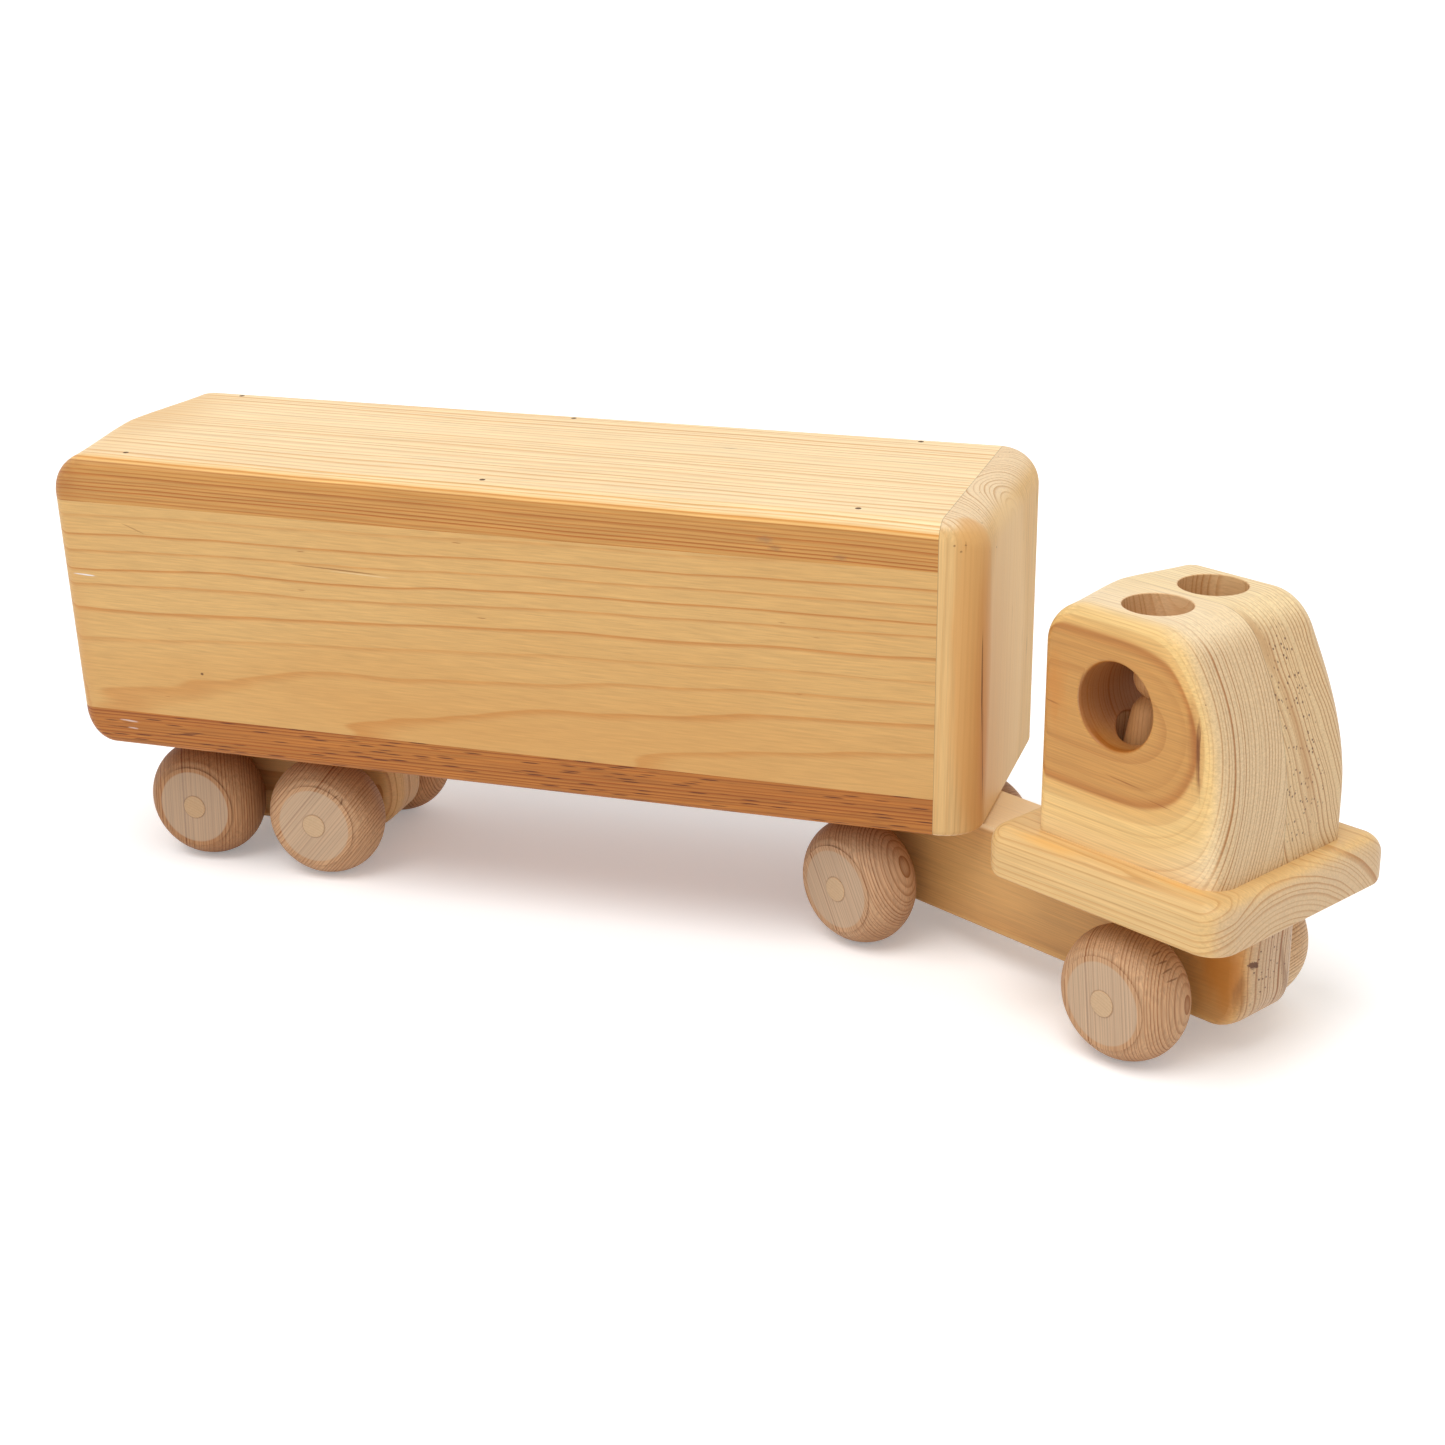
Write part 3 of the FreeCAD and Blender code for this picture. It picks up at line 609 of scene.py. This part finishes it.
# Scuffs on two of the wheels: the first one's place ahead, left and up of the wheel's middle, the step to the
# next, the half lengths, and each scuff's tilt
SCUFFS = {
    "bogie_front_wheel_right": ((10, -16, 20), (3.6, 0, -2.1), (0.5, 4, 3.0), (0.2, 0.9, 0.1)),
    "tractor_front_wheel_right": ((18, -2, 27), (3.2, 0, -3.3), (0.6, 4.5, 2.6), (0.6, 1.2, 0.5, 1.2))}


def wheel_scuffs(node):
    if node not in SCUFFS:
        return ()
    first, step, extent, tilts = SCUFFS[node]
    left, ahead = directions(node)
    heading = math.atan2(ahead.y, ahead.x)
    marks = []
    for index, tilt in enumerate(tilts):
        x, y, z = Vector(first) + index * Vector(step)
        at = middle(node) + MM * (x * ahead + y * left + z * UP)
        marks.append(mark(at, extent, (112, 72, 44), 0.7, 0.6, 0.5, (0, tilt, heading)))
    return marks


def wheel_birch(node, degrees, lean, tint):
    left, ahead = directions(node)
    grain = math.cos(math.radians(degrees)) * ahead + math.sin(math.radians(degrees)) * UP
    return timber(
        plain_name(node) + " birch", Log(grain, grain.cross(left) - lean * left, middle(node), 150),
        pale=tinted(tint, 200, 159, 120), late=(186, 146, 108), warm=tinted(tint, 186, 141, 102),
        end=tinted(tint, 174, 128, 88), ring=1.5, waver=0.3, waver_length=24, late_share=0.5,
        late_strength=0.95, streaks=0.46, roughness=0.62, coat=0.0, fleck=(6, 0.05, 0.25),
        fleck_colour=(130, 84, 54), stains_and_painted_light=wheel_scuffs(node),
        face=(left, middle(node), (198, 183, 161)))


def dowel(node, grain, outward, end):
    return timber(
        plain_name(node) + " dowel", Log(grain, outward, middle(node), 40),
        pale=(214, 178, 138), late=(214, 186, 154), warm=(206, 166, 124), end=end, ring=1.6, waver=0.3,
        waver_length=20, late_strength=0.4, streaks=0.14, roughness=0.6, coat=0.0)


for node, (degrees, lean, tint) in WHEELS.items():
    finish_in(node, wheel_birch(node, degrees, lean, tint))
for node in ("bogie_rear_axle", "bogie_front_axle", "tractor_rear_axle", "tractor_front_axle"):
    tint = (0.9, 0.87, 0.84) if node == "bogie_rear_axle" else (0.97, 0.98, 1.0)
    finish_in(node, dowel(node, directions(node)[0], UP + 0.4 * AHEAD, tinted(tint, 208, 176, 138)))
finish_in("hitch_pin", dowel("hitch_pin", UP, AHEAD, (206, 174, 136)))
finish_in("peg_driver", timber(
    "Peg driver birch", Log(UP, AHEAD, middle("peg_driver"), 60),
    pale=(212, 160, 106), late=(206, 172, 140), warm=(196, 142, 88), end=(206, 156, 104), ring=1.8,
    waver=0.3, waver_length=30, late_strength=0.5, streaks=0.2, roughness=0.55, coat=0.0))

brad_steel = steel("Brad steel")
for node in ("roof_brads", "floor_brads"):
    finish_in(node, brad_steel)


# --- Floor, light and camera --------------------------------------------------------------------

# In metres
FLOOR_HALF_WIDTH = 30
# How much brighter the floor is seen than it is lit, so that the table is white
FLOOR_GLOW = 0.23
# The sky's light on things, seen as 1 by the camera, and the softbox: its strength, its spread in degrees and
# the way it shines
SKY = 0.67
SOFTBOX = 1.32
SOFTBOX_SPREAD = 40
SOFTBOX_HEADING = Vector((0.1, 0.42, -1))
CAMERA_YAW, CAMERA_PITCH, CAMERA_ROLL = (math.radians(angle) for angle in (-18.6393, 21.1205, -0.9308))
# From the middle of the front block's front face, at floor height
CAMERA_STAND = MM * Vector((222.203, -1168.158, 563.79))
LENS_LENGTH = 62.205
LENS_SHIFT = (0.0238, 0.0015)
SENSOR_WIDTH = 36


def seen_directly(tree):
    """1 for what the camera sees, straight or in a reflection, and 0 for what only lights other things."""
    path = put(tree, "LightPath").outputs
    mirrored = sums(tree, "MAXIMUM", path["Is Glossy Ray"], path["Is Transmission Ray"])
    return sums(tree, "MAXIMUM", path["Is Camera Ray"], mirrored)


def studio_floor():
    mesh = bpy.data.meshes.new("studio_floor")
    work = bmesh.new()
    bmesh.ops.create_grid(work, x_segments=1, y_segments=1, size=FLOOR_HALF_WIDTH)
    work.to_mesh(mesh)
    work.free()
    material, tree = new_material("White table")
    glow = sums(tree, "MULTIPLY", seen_directly(tree), FLOOR_GLOW)
    surface(tree, {"Base Color": (1, 1, 1, 1), "Roughness": 0.9, "Specular IOR Level": 0.1,
                   "Emission Color": (1, 1, 1, 1), "Emission Strength": glow})
    mesh.materials.append(material)
    floor = bpy.data.objects.new("studio_floor", mesh)
    bpy.context.scene.collection.objects.link(floor)


def studio_light():
    world = bpy.data.worlds.new("Studio")
    bpy.context.scene.world = world
    world.use_nodes = True
    tree = world.node_tree
    tree.nodes.clear()
    strength = sums(tree, "MULTIPLY_ADD", seen_directly(tree), 1 - SKY, SKY)
    sky = put(tree, "Background", {"Color": (1, 1, 1, 1), "Strength": strength})
    tree.links.new(sky.outputs[0], put(tree, "OutputWorld").inputs[0])
    lamp = bpy.data.lights.new("Key softbox", "SUN")
    lamp.energy = SOFTBOX
    lamp.angle = math.radians(SOFTBOX_SPREAD)
    holder = bpy.data.objects.new("Key softbox", lamp)
    holder.rotation_euler = SOFTBOX_HEADING.to_track_quat("-Z", "Y").to_euler()
    bpy.context.scene.collection.objects.link(holder)


def studio_camera():
    level_ahead = Vector((math.sin(CAMERA_YAW), math.cos(CAMERA_YAW), 0))
    level_right = Vector((math.cos(CAMERA_YAW), -math.sin(CAMERA_YAW), 0))
    ahead = math.cos(CAMERA_PITCH) * level_ahead - math.sin(CAMERA_PITCH) * UP
    above = level_right.cross(ahead)
    right = math.cos(CAMERA_ROLL) * level_right + math.sin(CAMERA_ROLL) * above
    top = math.cos(CAMERA_ROLL) * above - math.sin(CAMERA_ROLL) * level_right
    stand = Vector((front_high.x, (front_low.y + front_high.y) / 2, 0)) + CAMERA_STAND
    lens = bpy.data.cameras.new("Camera")
    lens.sensor_width = SENSOR_WIDTH
    lens.lens = LENS_LENGTH
    lens.shift_x, lens.shift_y = LENS_SHIFT
    lens.clip_start, lens.clip_end = 0.05, 100
    camera = bpy.data.objects.new("Camera", lens)
    camera.matrix_world = Matrix.Translation(stand) @ Matrix((right, top, -ahead)).transposed().to_4x4()
    bpy.context.scene.collection.objects.link(camera)
    bpy.context.scene.camera = camera


studio_floor()
studio_light()
studio_camera()
bpy.context.scene.view_settings.view_transform = "Standard"
